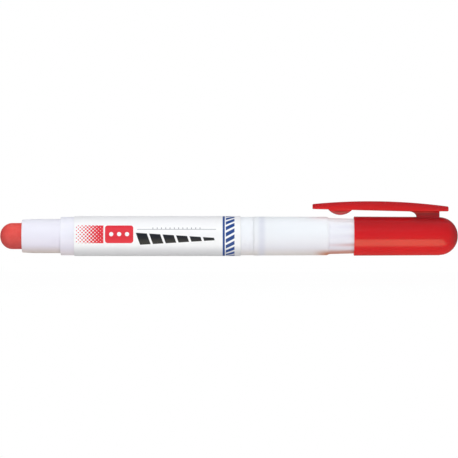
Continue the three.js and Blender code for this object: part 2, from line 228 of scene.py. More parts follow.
def finished(name, vertices, faces):
    """An object made of these vertices and faces, smooth except at its sharp edges."""
    mesh = bpy.data.meshes.new(name)
    mesh.from_pydata(vertices, [], faces)
    mesh.validate()
    mesh.shade_smooth()
    mesh.set_sharp_from_angle(angle=math.radians(SHARP_ANGLE))
    piece = bpy.data.objects.new(name, mesh)
    bpy.context.scene.collection.objects.link(piece)
    return piece


def rounded(corners, closed):
    """Profile points from corners (x, radius, fillet): each corner with a fillet becomes a small curve."""
    points = []
    count = len(corners)
    for i, (x, radius, fillet) in enumerate(corners):
        corner = Vector((x, radius))
        if fillet == 0 or (not closed and i in (0, count - 1)):
            points.append(corner)
            continue
        before = Vector(corners[i - 1][:2]) - corner
        after = Vector(corners[(i + 1) % count][:2]) - corner
        reach = min(fillet, FILLET_LIMIT * before.length, FILLET_LIMIT * after.length)
        start = corner + before.normalized() * reach
        end = corner + after.normalized() * reach
        for step in range(FILLET_STEPS + 1):
            t = step / FILLET_STEPS
            points.append(start * (1 - t) ** 2 + corner * 2 * t * (1 - t) + end * t * t)
    return points


def dome(x, radius, length, height, turn_from, turn_to, steps):
    """Corners of a quarter ellipse round (x, radius), between two angles in degrees."""
    corners = []
    for i in range(steps + 1):
        angle = math.radians(turn_from + (turn_to - turn_from) * i / steps)
        corners.append((x + length * math.cos(angle), max(radius + height * math.sin(angle), 0), 0))
    return corners


def turned(name, corners, closed=False, shape=None):
    """A surface turned round the marker's axis. shape(x, radius, angle) may change a radius."""
    vertices = []
    rows = []
    for x, radius in rounded(corners, closed):
        if radius < ON_AXIS:
            rows.append([len(vertices)] * SIDES)
            vertices.append((x, 0, AXIS))
            continue
        row = []
        for j in range(SIDES):
            angle = 2 * math.pi * j / SIDES
            r = shape(x, radius, angle) if shape else radius
            row.append(len(vertices))
            vertices.append((x, r * math.sin(angle), AXIS + r * math.cos(angle)))
        rows.append(row)
    pairs = list(zip(rows, rows[1:]))
    if closed:
        pairs.append((rows[-1], rows[0]))
    faces = []
    for a, b in pairs:
        for j in range(SIDES):
            k = (j + 1) % SIDES
            face = list(dict.fromkeys((a[j], b[j], b[k], a[k])))
            if len(face) > 2:
                faces.append(face)
    return finished(name, vertices, faces)


# Nodes

class Nodes:
    """Short calls for the nodes of one tree."""

    def __init__(self, tree):
        self.tree = tree

    def put(self, socket, value):
        """Links a socket to another one's output, or sets it to a plain value."""
        if isinstance(value, bpy.types.NodeSocket):
            self.tree.links.new(value, socket)
        else:
            socket.default_value = value

    def math(self, operation, *values, clamp=False):
        node = self.tree.nodes.new("ShaderNodeMath")
        node.operation = operation
        node.use_clamp = clamp
        for socket, value in zip(node.inputs, values):
            self.put(socket, value)
        return node.outputs[0]

    def chained(self, operation, values):
        out = values[0]
        for value in values[1:]:
            out = self.math(operation, out, value)
        return out

    def product(self, *values):
        return self.chained("MULTIPLY", values)

    def total(self, *values):
        return self.chained("ADD", values)

    def largest(self, *values):
        return self.chained("MAXIMUM", values)

    def less(self, a, b, clamp=False):
        return self.math("SUBTRACT", a, b, clamp=clamp)

    def apart(self, a, b):
        """The distance between two values."""
        return self.math("ABSOLUTE", self.less(a, b))

    def far(self, a, b):
        """The length of the vector (a, b)."""
        return self.math("SQRT", self.total(self.product(a, a), self.product(b, b)))

    def span(self, value, low, high, to_low=0.0, to_high=1.0, smooth=True):
        """Brings the range low to high to the range to_low to to_high, and stays there beyond it."""
        node = self.tree.nodes.new("ShaderNodeMapRange")
        node.interpolation_type = "SMOOTHSTEP" if smooth else "LINEAR"
        for socket, number in zip(node.inputs, (value, low, high, to_low, to_high)):
            self.put(socket, number)
        return node.outputs[0]

    def mix(self, share, a, b):
        """Colour a, with this share of colour b."""
        node = self.tree.nodes.new("ShaderNodeMix")
        node.data_type = "RGBA"
        self.put(node.inputs["Factor"], share)
        for name, value in (("A", a), ("B", b)):
            socket = [s for s in node.inputs if s.name == name and s.type == "RGBA"][0]
            self.put(socket, value)
        return [s for s in node.outputs if s.type == "RGBA"][0]

    def texture_place(self, output):
        return self.tree.nodes.new("ShaderNodeTexCoord").outputs[output]

    def split(self, vector):
        node = self.tree.nodes.new("ShaderNodeSeparateXYZ")
        self.put(node.inputs[0], vector)
        return node.outputs


class Finish(Nodes):
    """A material with a Principled shader."""

    def __init__(self, name):
        self.material = bpy.data.materials.new(name)
        self.material.use_nodes = True
        super().__init__(self.material.node_tree)
        self.shader = self.tree.nodes["Principled BSDF"]
        self.place = self.texture_place("Object")
        self.position = self.tree.nodes.new("ShaderNodeNewGeometry").outputs["Position"]

    def xyz(self):
        return self.split(self.place)

    def noise(self, scale, detail, roughness=0.5, vector=None):
        node = self.tree.nodes.new("ShaderNodeTexNoise")
        self.put(node.inputs["Vector"], vector or self.place)
        node.inputs["Scale"].default_value = scale
        node.inputs["Detail"].default_value = detail
        node.inputs["Roughness"].default_value = roughness
        return node.outputs["Fac"]

    def drawn_noise(self, scale, detail, along):
        """Noise drawn out along the marker: X counts only by the share along."""
        x, y, z = self.xyz()
        node = self.tree.nodes.new("ShaderNodeCombineXYZ")
        for socket, value in zip(node.inputs, (self.product(x, along), y, z)):
            self.put(socket, value)
        return self.noise(scale, detail, vector=node.outputs[0])

    def mottled(self, noise, dark, light, low=0.3, high=0.7):
        return self.mix(self.span(noise, low, high), dark, light)

    def by_height(self, full, none, share, height=None):
        """This share at the height full, fading to nothing at the height none.

        Both are in millimetres from the axis. Where no height is given it is the world's,
        so the shading stays upright when a piece turns.
        """
        height = height or self.split(self.position)[2]
        if full < none:
            return self.span(height, AXIS + full * MM, AXIS + none * MM, share, 0.0)
        return self.span(height, AXIS + none * MM, AXIS + full * MM, 0.0, share)

    def around(self):
        """The angle round the axis: 0 towards -Y, a quarter turn at the top."""
        _, y, z = self.xyz()
        return self.math("ARCTAN2", self.less(z, AXIS), self.product(y, -1.0))

    def line(self, value, centre, half, soft):
        """1 within half of centre, fading out over soft."""
        return self.span(self.apart(value, centre), half, half + soft, 1.0, 0.0)

    def surface(self, colour, noise, rough, spread):
        """Sets the base colour, and a roughness of rough plus spread times the noise."""
        self.put(self.shader.inputs["Base Color"], colour)
        self.put(self.shader.inputs["Roughness"], self.total(self.product(noise, spread), rough))

    def relief(self, parts, distance, strength):
        """Bumps from heights that are given with their weights."""
        node = self.tree.nodes.new("ShaderNodeBump")
        node.inputs["Distance"].default_value = distance
        node.inputs["Strength"].default_value = strength
        height = self.total(*[self.product(part, weight) for part, weight in parts])
        self.put(node.inputs["Height"], height)
        self.put(self.shader.inputs["Normal"], node.outputs["Normal"])

    def translucent(self, weight, depth, radius=(1.0, 1.0, 1.0)):
        """Lets light a little way into the material."""
        self.shader.inputs["Subsurface Weight"].default_value = weight
        self.shader.inputs["Subsurface Radius"].default_value = radius
        self.shader.inputs["Subsurface Scale"].default_value = depth


class Stage(Nodes):
    """The emptied node tree of the floor or the world."""

    def __init__(self, owner):
        owner.use_nodes = True
        super().__init__(owner.node_tree)
        self.tree.nodes.clear()
        self.rays = self.tree.nodes.new("ShaderNodeLightPath").outputs

    def shader(self, kind, colour, strength=None):
        node = self.tree.nodes.new(kind)
        self.put(node.inputs["Color"], colour)
        if strength is not None:
            self.put(node.inputs["Strength"], strength)
        return node.outputs[0]

    def blend(self, share, a, b):
        node = self.tree.nodes.new("ShaderNodeMixShader")
        for socket, value in zip(node.inputs, (share, a, b)):
            self.put(socket, value)
        return node.outputs[0]

    def add(self, a, b):
        node = self.tree.nodes.new("ShaderNodeAddShader")
        self.put(node.inputs[0], a)
        self.put(node.inputs[1], b)
        return node.outputs[0]

    def mirrored(self):
        """Glossy and transmitted rays, which see the background as the camera does."""
        return self.largest(self.rays["Is Glossy Ray"], self.rays["Is Transmission Ray"])

    def finish(self, kind, shader):
        self.put(self.tree.nodes.new(kind).inputs["Surface"], shader)


def rgb(red, green, blue):
    """A colour given as sRGB from 0 to 255."""
    def linear(c):
        c = c / 255
        return c / 12.92 if c <= 0.04045 else ((c + 0.055) / 1.055) ** 2.4
    return (linear(red), linear(green), linear(blue), 1.0)


# Plastics and wax

BARREL_WHITE = rgb(242, 246, 250)
BARREL_FLOW = rgb(238, 242, 247)
KNOB_WHITE = rgb(238, 242, 245)
KNOB_FLOW = rgb(234, 238, 242)
SHADED_WHITE = rgb(225, 224, 230)
WARM_BOUNCE_WHITE = rgb(223, 215, 205)
DULL_LILAC = rgb(190, 151, 212)
NOZZLE_WARM_BOUNCE = rgb(184, 158, 92)
BEAD_SHADOW_GREY = rgb(206, 208, 222)
VALLEY_SHADE_LILAC = rgb(206, 204, 226)
VALLEY_RED_REFLECTION = rgb(206, 146, 130)
TAIL_RED_REFLECTION = rgb(197, 114, 66)
TAIL_TOP_PAINTED_LIGHT = rgb(242, 248, 253)
RED = rgb(214, 19, 27)
RED_FLOW = rgb(206, 14, 22)
SHADE_RED = rgb(128, 32, 37)
LIT_RED = rgb(238, 34, 40)
WAX_RED = rgb(229, 89, 82)
WAX_CLOUD = rgb(219, 74, 68)
WAX_WORN = rgb(200, 52, 50)
WAX_SHADE_LOW = rgb(178, 62, 58)
INNER_WHITE = rgb(232, 234, 238)
INNER_CLOUD = rgb(222, 225, 230)
LINER_WHITE = rgb(240, 240, 238)
LINER_CLOUD = rgb(230, 230, 228)

NOZZLE_DULL = 0.15
COLLAR_DULL = 0.12
TAIL_DULL = 0.06
BEAD_AT = SEAM + 2.45 * MM
BEAD_HALF = 0.1 * MM
BEAD_SOFT = 1.7 * MM
BEAD_SHARE = 0.5
VALLEY_NARROWNESS = 2.4
VALLEY_AT_STEP = 0.3
VALLEY_ABOVE = 0.2
VALLEY_BELOW = 0.65
RED_GLOW_FROM = KNOB_STEP - 5.5 * MM
RED_GLOW_FULL = KNOB_STEP + 0.8 * MM
CAP_FOOT_HALF = 3 * MM
CAP_FOOT_SOFT = 4 * MM
DOME_SHADE_LENGTH = 3.5 * MM
CROWN_SHADE_DEPTH = 1.9 * MM
FOOT_SHADE_FULL = UNDERSIDE_REAR - 0.7 * MM
FOOT_SHADE_END = UNDERSIDE_REAR - 0.3 * MM
BUMP_RIM = (BUMP_LOW + 0.3 * MM, BUMP_LOW + 0.8 * MM)
BUMP_ROOT = (BUMP_LOW + 1.15 * MM, BUMP_LOW + 1.4 * MM)
BUMP_SHADE_HALF = 1.0 * MM
BUMP_SHADE_SOFT = 2.4 * MM
WORN_LENGTH = 3 * MM


def white_plastic(name, bright, flow, tint):
    """Moulded white polypropylene: faintly translucent, with painted shade and a painted warm bounce light
    below, flow marks and a satin grain.
    """
    f = Finish(name)
    colour = f.mottled(f.drawn_noise(scale=90, detail=3, along=0.35), flow, bright)
    # painted shade towards the bottom, then a painted warm bounce light along the bottom edge
    colour = f.mix(f.by_height(full=-4.6, none=2.0, share=0.8), colour, SHADED_WHITE)
    colour = f.mix(f.by_height(full=-5.6, none=-3.2, share=0.6), colour, WARM_BOUNCE_WHITE)
    grain = f.noise(scale=5200, detail=2)
    wave = f.noise(scale=420, detail=2)
    parting = f.line(f.xyz()[1], 0.0, half=0.03 * MM, soft=0.05 * MM)
    f.surface(tint(f, colour), wave, rough=0.3, spread=0.12)
    f.relief(((grain, 0.25), (wave, 0.5), (parting, 1.2)), distance=0.012 * MM, strength=0.6)
    f.translucent(weight=0.5, depth=1.0 * MM)
    f.shader.inputs["IOR"].default_value = 1.49
    return f.material


def barrel_tint(f, colour):
    """The front of the barrel is a little duller than its rear, and its nozzle has a painted warm bounce
    light below.
    """
    x = f.xyz()[0]
    front = f.span(x, label_low.x, label_low.x + 1 * MM, 1.0, 0.0)
    nozzle = f.span(x, COLLAR_AT - 0.2 * MM, COLLAR_AT, 1.0, 0.0)
    dull = f.product(front, f.span(nozzle, 0.0, 1.0, COLLAR_DULL, NOZZLE_DULL, smooth=False))
    colour = f.mix(dull, colour, DULL_LILAC)
    # painted warm bounce light on the nozzle's lower side
    warm = f.product(nozzle, f.by_height(full=-5.2, none=-2.4, share=0.3))
    return f.mix(warm, colour, NOZZLE_WARM_BOUNCE)


def knob_tint(f, colour):
    """Painted shade where the snap bead shows through the wall, painted shade and a painted red reflection
    in the flutes' valleys, the cap's red painted as reflected light on the tail's bottom, and painted light
    on the tail's top near the cap.
    """
    x = f.xyz()[0]
    # painted shade of the snap bead seen through the wall
    bead = f.line(x, BEAD_AT, BEAD_HALF, BEAD_SOFT)
    colour = f.mix(f.product(bead, BEAD_SHARE), colour, BEAD_SHADOW_GREY)
    # painted shade in the flutes' valleys, with a painted red reflection of the cap in the lower ones,
    # growing towards the cap
    wave = f.math("COSINE", f.product(f.around(), FLUTES))
    valley = f.math("POWER", f.math("MULTIPLY_ADD", wave, 0.5, 0.5), VALLEY_NARROWNESS)
    towards_cap = f.span(x, STEP_REAR, CAP_MOUTH, VALLEY_AT_STEP, 1.0)
    behind_step = f.span(x, KNOB_STEP, KNOB_STEP + 0.6 * MM)
    low = f.by_height(full=-3.6, none=0.6, share=1.0)
    strength = f.span(low, 0.0, 1.0, VALLEY_ABOVE, VALLEY_BELOW, smooth=False)
    tint = f.mix(low, VALLEY_SHADE_LILAC, VALLEY_RED_REFLECTION)
    valley = f.product(valley, f.product(towards_cap, behind_step))
    colour = f.mix(f.product(valley, strength), colour, tint)
    # painted red reflection of the cap along the tail's bottom near it
    near_cap = f.span(x, RED_GLOW_FROM, RED_GLOW_FULL)
    bottom = f.by_height(full=-5.6, none=-3.8, share=1.0)
    colour = f.mix(f.product(bottom, near_cap), colour, TAIL_RED_REFLECTION)
    tail = f.span(x, KNOB_STEP - 0.5 * MM, KNOB_STEP + 0.5 * MM, 0.0, TAIL_DULL)
    colour = f.mix(tail, colour, DULL_LILAC)
    # painted light on the tail's top near the cap
    top = f.by_height(full=5.0, none=3.4, share=1.0)
    return f.mix(f.product(top, near_cap), colour, TAIL_TOP_PAINTED_LIGHT)


def red_plastic(name, shade):
    """Glossy red polypropylene, a little translucent, with some orange peel."""
    f = Finish(name)
    colour = f.mottled(f.drawn_noise(scale=70, detail=3, along=0.4), RED_FLOW, RED)
    peel = f.noise(scale=900, detail=2)
    wave = f.noise(scale=210, detail=2)
    parting = f.line(f.xyz()[1], 0.0, half=0.02 * MM, soft=0.04 * MM)
    f.surface(shade(f, colour), wave, rough=0.13, spread=0.08)
    f.relief(((peel, 0.3), (wave, 0.5), (parting, 1.0)), distance=0.01 * MM, strength=0.5)
    f.translucent(weight=0.5, depth=1.8 * MM, radius=(1.0, 0.12, 0.1))
    f.shader.inputs["IOR"].default_value = 1.5
    f.shader.inputs["Specular IOR Level"].default_value = 0.9
    return f.material


def cap_shade(f, colour):
    """Painted shade towards the cap's top, under the clip's foot and at the end of its dome, and painted
    light towards its bottom.
    """
    x, _, z = f.xyz()
    # painted shadow of the clip's foot on the cap's top
    by_foot = f.line(x, (PEDESTAL_FRONT + PEDESTAL_REAR) / 2, CAP_FOOT_HALF, CAP_FOOT_SOFT)
    below_foot = f.product(by_foot, f.by_height(full=6.0, none=3.0, share=0.3, height=z))
    # painted shade towards the cap's top
    high = f.total(f.by_height(full=5.8, none=-0.5, share=0.5), below_foot)
    colour = f.mix(high, colour, SHADE_RED)
    # painted shade at the end of the dome
    colour = f.mix(f.span(x, CAP_END - DOME_SHADE_LENGTH, CAP_END, 0.0, 0.5), colour, SHADE_RED)
    # painted light towards the bottom
    return f.mix(f.by_height(full=-5.8, none=-1.2, share=0.6), colour, LIT_RED)


def clip_shade(f, colour):
    """Painted shade along the bar's crown, on the foot below the bar and in the middle of the bump."""
    x, _, z = f.xyz()
    # painted shade over the crown's rounded top edge
    off = f.less(x, CROWN_AT)
    drop = f.math("DIVIDE", f.product(off, off), 2 * CROWN_RADIUS)
    below_crown = f.less(CROWN_HEIGHT, f.total(z, drop))
    crown = f.span(below_crown, 0.0, CROWN_SHADE_DEPTH, 0.5, 0.0)
    # painted shadow on the foot under the bar
    foot = f.product(
        f.span(z, FOOT_SHADE_FULL, FOOT_SHADE_END, 0.7, 0.0),
        f.span(x, PEDESTAL_FRONT - PEDESTAL_FILLET, PEDESTAL_FRONT),
    )
    # painted shade in the bump's middle under the bar
    bump = f.product(
        f.span(z, *BUMP_ROOT, 0.6, 0.0),
        f.span(z, *BUMP_RIM),
        f.line(x, BUMP_AT, BUMP_SHADE_HALF, BUMP_SHADE_SOFT),
    )
    return f.mix(f.largest(crown, foot, bump), colour, SHADE_RED)


def paint_wax():
    """Solid paint: waxy, slightly translucent, with painted shade below, and darker where the tip is worn.
    """
    f = Finish("paint_wax")
    cloud = f.noise(scale=420, detail=4, roughness=0.6)
    speck = f.noise(scale=3800, detail=2)
    drag = f.drawn_noise(scale=700, detail=3, along=0.12)
    colour = f.mottled(cloud, WAX_CLOUD, WAX_RED, low=0.25, high=0.75)
    worn = f.span(f.xyz()[0], stick_low.x, stick_low.x + WORN_LENGTH, 0.65, 0.0)
    colour = f.mix(worn, colour, WAX_WORN)
    # painted shade towards the bottom
    colour = f.mix(f.by_height(full=-3.6, none=1.4, share=0.6), colour, WAX_SHADE_LOW)
    f.surface(colour, cloud, rough=0.38, spread=0.2)
    f.relief(((drag, 0.8), (speck, 0.25)), distance=0.06 * MM, strength=0.5)
    f.translucent(weight=0.35, depth=1.2 * MM, radius=(1.0, 0.3, 0.25))
    f.shader.inputs["IOR"].default_value = 1.45
    return f.material


def natural_plastic(name, bright, shade):
    """Plain moulded plastic of the inner pieces."""
    f = Finish(name)
    cloud = f.noise(scale=300, detail=3)
    grain = f.noise(scale=2600, detail=2)
    f.surface(f.mottled(cloud, shade, bright), cloud, rough=0.35, spread=0.15)
    f.relief(((grain, 1.0),), distance=0.01 * MM, strength=0.5)
    f.translucent(weight=0.15, depth=0.6 * MM)
    return f.material


# Label print: plain motifs in millimetres, u from the sleeve's rear end forward and v up round it

NAVY = rgb(35, 72, 140)
CHARCOAL = rgb(30, 34, 44)
RED_INK = rgb(222, 42, 58)
GREY_INK = rgb(150, 152, 158)
FILM = rgb(245, 246, 246)
FILM_FIBRE = rgb(240, 241, 242)
FILM_SHADE_LOW = rgb(200, 200, 200)
FILM_SHADE_HIGH = rgb(230, 230, 232)
OVERLAP_GREY = rgb(190, 190, 194)
INK_EDGE = 0.05

RING_AT = 3.2
RING_HALF = 1.3
RING_PITCH = 1.92
RING_SLANT = 0.55
RING_BAR_HALF = 0.58
HOOP_AT = 5.15
HOOP_HALF = 0.3

STROKE_AT = 19.9
STROKE_HALF = 11.9
STROKE_MIDDLE = -0.9
STROKE_SLANT = 0.35
STROKE_THIN_AT = 7.5
STROKE_THIN_HALF = 0.35
STROKE_THICK_AT = 31.4
STROKE_THICK_HALF = 1.9
WEDGE_PITCH = 3.98
WEDGE_HALF = 1.62

RULE_AT = 19.45
RULE_HALF = 11.95
RULE_HEIGHT = 2.1
RULE_LINE_HALF = 0.06
TICK_PITCH = 1.3
TICK_HALF = 0.08
TICK_MIDDLE = 2.4
TICK_TALL_HALF = 0.3
TICKS_HALF = 8.0

FIELD_REAR = 32.6
FIELD_FRONT = 41.2
FIELD_LOW = -2.2
FIELD_HIGH = 3.4
FIELD_MIDDLE = 0.6
FIELD_CORNER = 0.9
SPOTS_AT = 36.9
SPOTS_HALF = 3.4
SPOT_PITCH = 2.4
SPOT_RADIUS = 0.62
DOTS_AT = 45.9
DOTS_HALF = 4.2
DOTS_TALL_HALF = 2.8
DOT_PITCH = 1.12
DOT_RAISE = 0.04
DOT_LARGE_AT = 41.5
DOT_LARGE = 0.52
DOT_SMALL_AT = 50.4
DOT_SMALL = 0.16

OVERLAP_AT = -14.2
OVERLAP_HALF = 0.03


def ink_line(f, value, centre, half):
    return f.line(value, centre, half, INK_EDGE)


def ink_below(f, value, limit):
    """Ink where the value is below the limit."""
    return f.span(f.less(value, limit), -INK_EDGE, INK_EDGE, 1.0, 0.0)


def repeated(f, value, pitch):
    """The distance from the middle of the nearest repeat."""
    share = f.math("FRACT", f.math("DIVIDE", value, pitch))
    return f.product(f.less(share, 0.5), pitch)


def rounded_box(f, u, v, low_u, high_u, low_v, high_v, radius):
    """Ink inside a box with round corners."""
    def past(value, low, high):
        off = f.apart(value, (low + high) / 2)
        return f.largest(f.less(off, (high - low) / 2 - radius), 0.0)
    return ink_below(f, f.far(past(u, low_u, high_u), past(v, low_v, high_v)), radius)


def navy_ring(f, u, v):
    """A ring of slanted bars behind a solid hoop."""
    slant = f.total(v, f.product(u, RING_SLANT))
    bars = ink_line(f, repeated(f, slant, RING_PITCH), 0.0, RING_BAR_HALF)
    ring = f.product(bars, ink_line(f, u, RING_AT, RING_HALF))
    return f.largest(ring, ink_line(f, u, HOOP_AT, HOOP_HALF))


def charcoal_stroke(f, u, v):
    """One long stroke that grows from thin to thick, cut by slanted gaps."""
    half = f.span(u, STROKE_THIN_AT, STROKE_THICK_AT, STROKE_THIN_HALF, STROKE_THICK_HALF, smooth=False)
    inside = ink_below(f, f.apart(v, STROKE_MIDDLE), half)
    slant = f.less(u, f.product(v, STROKE_SLANT))
    wedges = ink_line(f, repeated(f, slant, WEDGE_PITCH), 0.0, WEDGE_HALF)
    return f.product(inside, wedges, ink_line(f, slant, STROKE_AT, STROKE_HALF))


def grey_rule(f, u, v):
    """A fine line with even ticks above it."""
    line = f.product(ink_line(f, v, RULE_HEIGHT, RULE_LINE_HALF), ink_line(f, u, RULE_AT, RULE_HALF))
    ticks = f.product(
        ink_line(f, repeated(f, u, TICK_PITCH), 0.0, TICK_HALF),
        ink_line(f, v, TICK_MIDDLE, TICK_TALL_HALF),
        ink_line(f, u, RULE_AT, TICKS_HALF),
    )
    return f.largest(line, ticks)


def red_field(f, u, v):
    """A round-cornered field with three white spots in a row, then dots that shrink towards the front."""
    field = rounded_box(f, u, v, FIELD_REAR, FIELD_FRONT, FIELD_LOW, FIELD_HIGH, FIELD_CORNER)
    along = repeated(f, f.less(u, SPOTS_AT - SPOT_PITCH / 2), SPOT_PITCH)
    spots = ink_line(f, f.far(along, f.less(v, FIELD_MIDDLE)), 0.0, SPOT_RADIUS)
    spots = f.product(spots, ink_line(f, u, SPOTS_AT, SPOTS_HALF))
    field = f.less(field, spots, clamp=True)
    size = f.span(u, DOT_LARGE_AT, DOT_SMALL_AT, DOT_LARGE, DOT_SMALL, smooth=False)
    lattices = []
    for shift in (0.0, DOT_PITCH / 2):
        across = repeated(f, f.total(v, shift + DOT_RAISE), DOT_PITCH)
        radius = f.far(repeated(f, f.total(u, shift), DOT_PITCH), across)
        lattices.append(ink_below(f, radius, size))
    dots = f.product(
        f.largest(*lattices),
        ink_line(f, u, DOTS_AT, DOTS_HALF),
        ink_line(f, v, FIELD_MIDDLE, DOTS_TALL_HALF),
    )
    return f.largest(field, dots)


def label_film():
    """Printed white film with painted shade towards its top and bottom, and its overlap at the back."""
    f = Finish("label_film")
    x, _, z = f.xyz()
    u = f.math("DIVIDE", f.less(label_high.x, x), MM)
    v = f.product(f.around(), LABEL_RADIUS / MM)
    colour = f.mix(f.noise(scale=900, detail=3), FILM_FIBRE, FILM)
    # painted shade towards the label's bottom and top
    colour = f.mix(f.by_height(full=-5.6, none=-2.5, share=0.72, height=z), colour, FILM_SHADE_LOW)
    colour = f.mix(f.by_height(full=6.0, none=3.0, share=0.6, height=z), colour, FILM_SHADE_HIGH)
    for ink, motif in (
        (NAVY, navy_ring),
        (CHARCOAL, charcoal_stroke),
        (GREY_INK, grey_rule),
        (RED_INK, red_field),
    ):
        colour = f.mix(motif(f, u, v), colour, ink)
    overlap = ink_line(f, v, OVERLAP_AT, OVERLAP_HALF)
    colour = f.mix(f.product(overlap, 0.5), colour, OVERLAP_GREY)
    wave = f.noise(scale=160, detail=2)
    grain = f.noise(scale=4200, detail=2)
    f.surface(colour, wave, rough=0.28, spread=0.12)
    f.relief(((wave, 0.8), (grain, 0.1), (overlap, -0.8)), distance=0.015 * MM, strength=0.5)
    return f.material


# Pieces

def barrel_shell():
    """The barrel with its nozzle, collar and spigot, hollow right through."""
    spigot_end = barrel_high.x
    shoulder = SEAM - SEAM_GAP
    return turned("barrel_shell", [
        (MOUTH, NOZZLE_BORE, MOUTH_INNER_EDGE),
        (MOUTH, MOUTH_RADIUS, MOUTH_OUTER_EDGE),
        (MOUTH + NOZZLE_TAPER, NOZZLE_RADIUS, TAPER_BLEND),
        (COLLAR_AT, NOZZLE_RADIUS, COLLAR_ROOT),
        (COLLAR_AT, BARREL_RADIUS, COLLAR_EDGE),
        (shoulder, BARREL_RADIUS, SEAM_EDGE),
        (shoulder, SPIGOT_RADIUS, 0),
        (spigot_end, SPIGOT_RADIUS, SPIGOT_EDGE),
        (spigot_end, BARREL_BORE, 0),
        (COLLAR_AT + BORE_CONE_REAR, BARREL_BORE, 0),
        (COLLAR_AT + BORE_CONE_FRONT, NOZZLE_BORE, 0),
    ], closed=True)


def label_sleeve():
    """The printed sleeve, just clear of the barrel."""
    inner = BARREL_RADIUS + LABEL_GAP
    return turned("label_sleeve", [
        (label_low.x, inner, 0),
        (label_low.x, LABEL_RADIUS, LABEL_EDGE),
        (label_high.x, LABEL_RADIUS, LABEL_EDGE),
        (label_high.x, inner, 0),
    ], closed=True)


def stick():
    """The paint stick, its domed tip slightly uneven from use."""
    shoulder = stick_high.x - CUP_DEPTH
    tip = dome(stick_low.x + DOME_LENGTH, 0, DOME_LENGTH, STICK_RADIUS, 180, 90, STICK_DOME_STEPS)

    def worn(x, radius, angle):
        near_tip = max(0.0, 1 - (x - stick_low.x) / DOME_LENGTH)
        wobble = math.sin(2 * angle + WEAR_SHIFT) + 0.5 * math.sin(5 * angle + x * WEAR_TWIST)
        return radius - WEAR_DEPTH * near_tip * (1 - near_tip) * 4 * (1 + wobble)

    return turned("paint_stick_wax", tip + [
        (shoulder, STICK_RADIUS, 0),
        (shoulder, STICK_FOOT_RADIUS, 0),
        (stick_high.x, STICK_FOOT_RADIUS, 0),
        (stick_high.x, 0, 0),
    ], shape=worn)


def knob_shell():
    """The knob with its skirt round the spigot, and its tail, whose flutes deepen to the end."""
    def fluted(x, radius, angle):
        if x < FLUTES_FROM or radius < OUTSIDE_FROM:
            return radius
        share = min((x - FLUTES_FROM) / (TAIL_END - FLUTES_FROM), 1)
        depth = FLUTE_START_DEPTH + (FLUTE_END_DEPTH - FLUTE_START_DEPTH) * share
        return radius - depth * (0.5 + 0.5 * math.cos(FLUTES * angle)) ** FLUTE_NARROWNESS

    tail = []
    for i in range(TAIL_STEPS + 1):
        share = i / TAIL_STEPS
        x = FLUTES_FROM + (TAIL_END - TAIL_EDGE - FLUTES_FROM) * share
        radius = TAIL_FRONT_RADIUS + (TAIL_END_RADIUS - TAIL_FRONT_RADIUS) * share
        tail.append((x, radius, 0))
    edge_radius = TAIL_END_RADIUS - TAIL_EDGE
    edge = dome(TAIL_END - TAIL_EDGE, edge_radius, TAIL_EDGE, TAIL_EDGE, 90, 0, TAIL_EDGE_STEPS)[1:]
    return turned("knob_shell", [
        (TAIL_END - TAIL_END_WALL, 0, 0),
        (TAIL_END - TAIL_END_WALL, KNOB_BORE, 0),
        (SEAM + SKIRT_DEPTH, KNOB_BORE, 0),
        (SEAM + SKIRT_DEPTH, SKIRT_RADIUS, 0),
        (SEAM, SKIRT_RADIUS, SKIRT_EDGE),
        (SEAM, KNOB_FRONT_RADIUS, SEAM_EDGE),
        (STEP_FRONT, KNOB_REAR_RADIUS, STEP_BLEND),
        (STEP_REAR, TAIL_FRONT_RADIUS, STEP_BLEND),
    ] + tail + edge + [(TAIL_END, 0, 0)], shape=fluted)


def cap_shell():
    """The cap: its hollow from the end wall to the mouth, then its outside to the dome."""
    dome_at = CAP_END - CAP_DOME_LENGTH
    inner = dome(dome_at, 0, CAP_DOME_LENGTH - CAP_END_WALL, CAP_BORE, 0, 90, CAP_BORE_STEPS)
    outer = dome(dome_at, 0, CAP_DOME_LENGTH, CAP_DOME_RADIUS, 90, 0, CAP_DOME_STEPS)
    return turned("cap_shell", inner + [
        (CAP_SHOULDER, CAP_BORE, 0),
        (CAP_SHOULDER, CAP_SEAT_BORE, 0),
        (CAP_MOUTH, CAP_MOUTH_BORE, CAP_MOUTH_INNER_EDGE),
        (CAP_MOUTH, CAP_MOUTH_RADIUS, CAP_MOUTH_EDGE),
        (dome_at, CAP_REAR_RADIUS, CAP_DOME_BLEND),
    ] + outer)


def clip_top(x):
    """The height of the bar's arched crown."""
    off = x - CROWN_AT
    return CROWN_HEIGHT - CROWN_RADIUS + math.sqrt(CROWN_RADIUS ** 2 - off ** 2)


def clip_underside(x):
    """The height of the bar's straight underside, which falls a little to the rear."""
    share = (x - clip_low.x) / (CLIP_SPLIT - clip_low.x)
    return UNDERSIDE_FRONT + (UNDERSIDE_REAR - UNDERSIDE_FRONT) * min(share, 1)


def clip_half(x):
    """Half the bar's width: it narrows to the tip and ends in a round corner."""
    share = (x - clip_low.x) / (CLIP_REAR - clip_low.x)
    half = CLIP_TIP_HALF + (CLIP_ROOT_HALF - CLIP_TIP_HALF) * share
    off = CLIP_TIP_RADIUS - (x - clip_low.x)
    if off > 0:
        half -= CLIP_TIP_RADIUS - math.sqrt(max(CLIP_TIP_RADIUS ** 2 - off ** 2, 0))
    return half


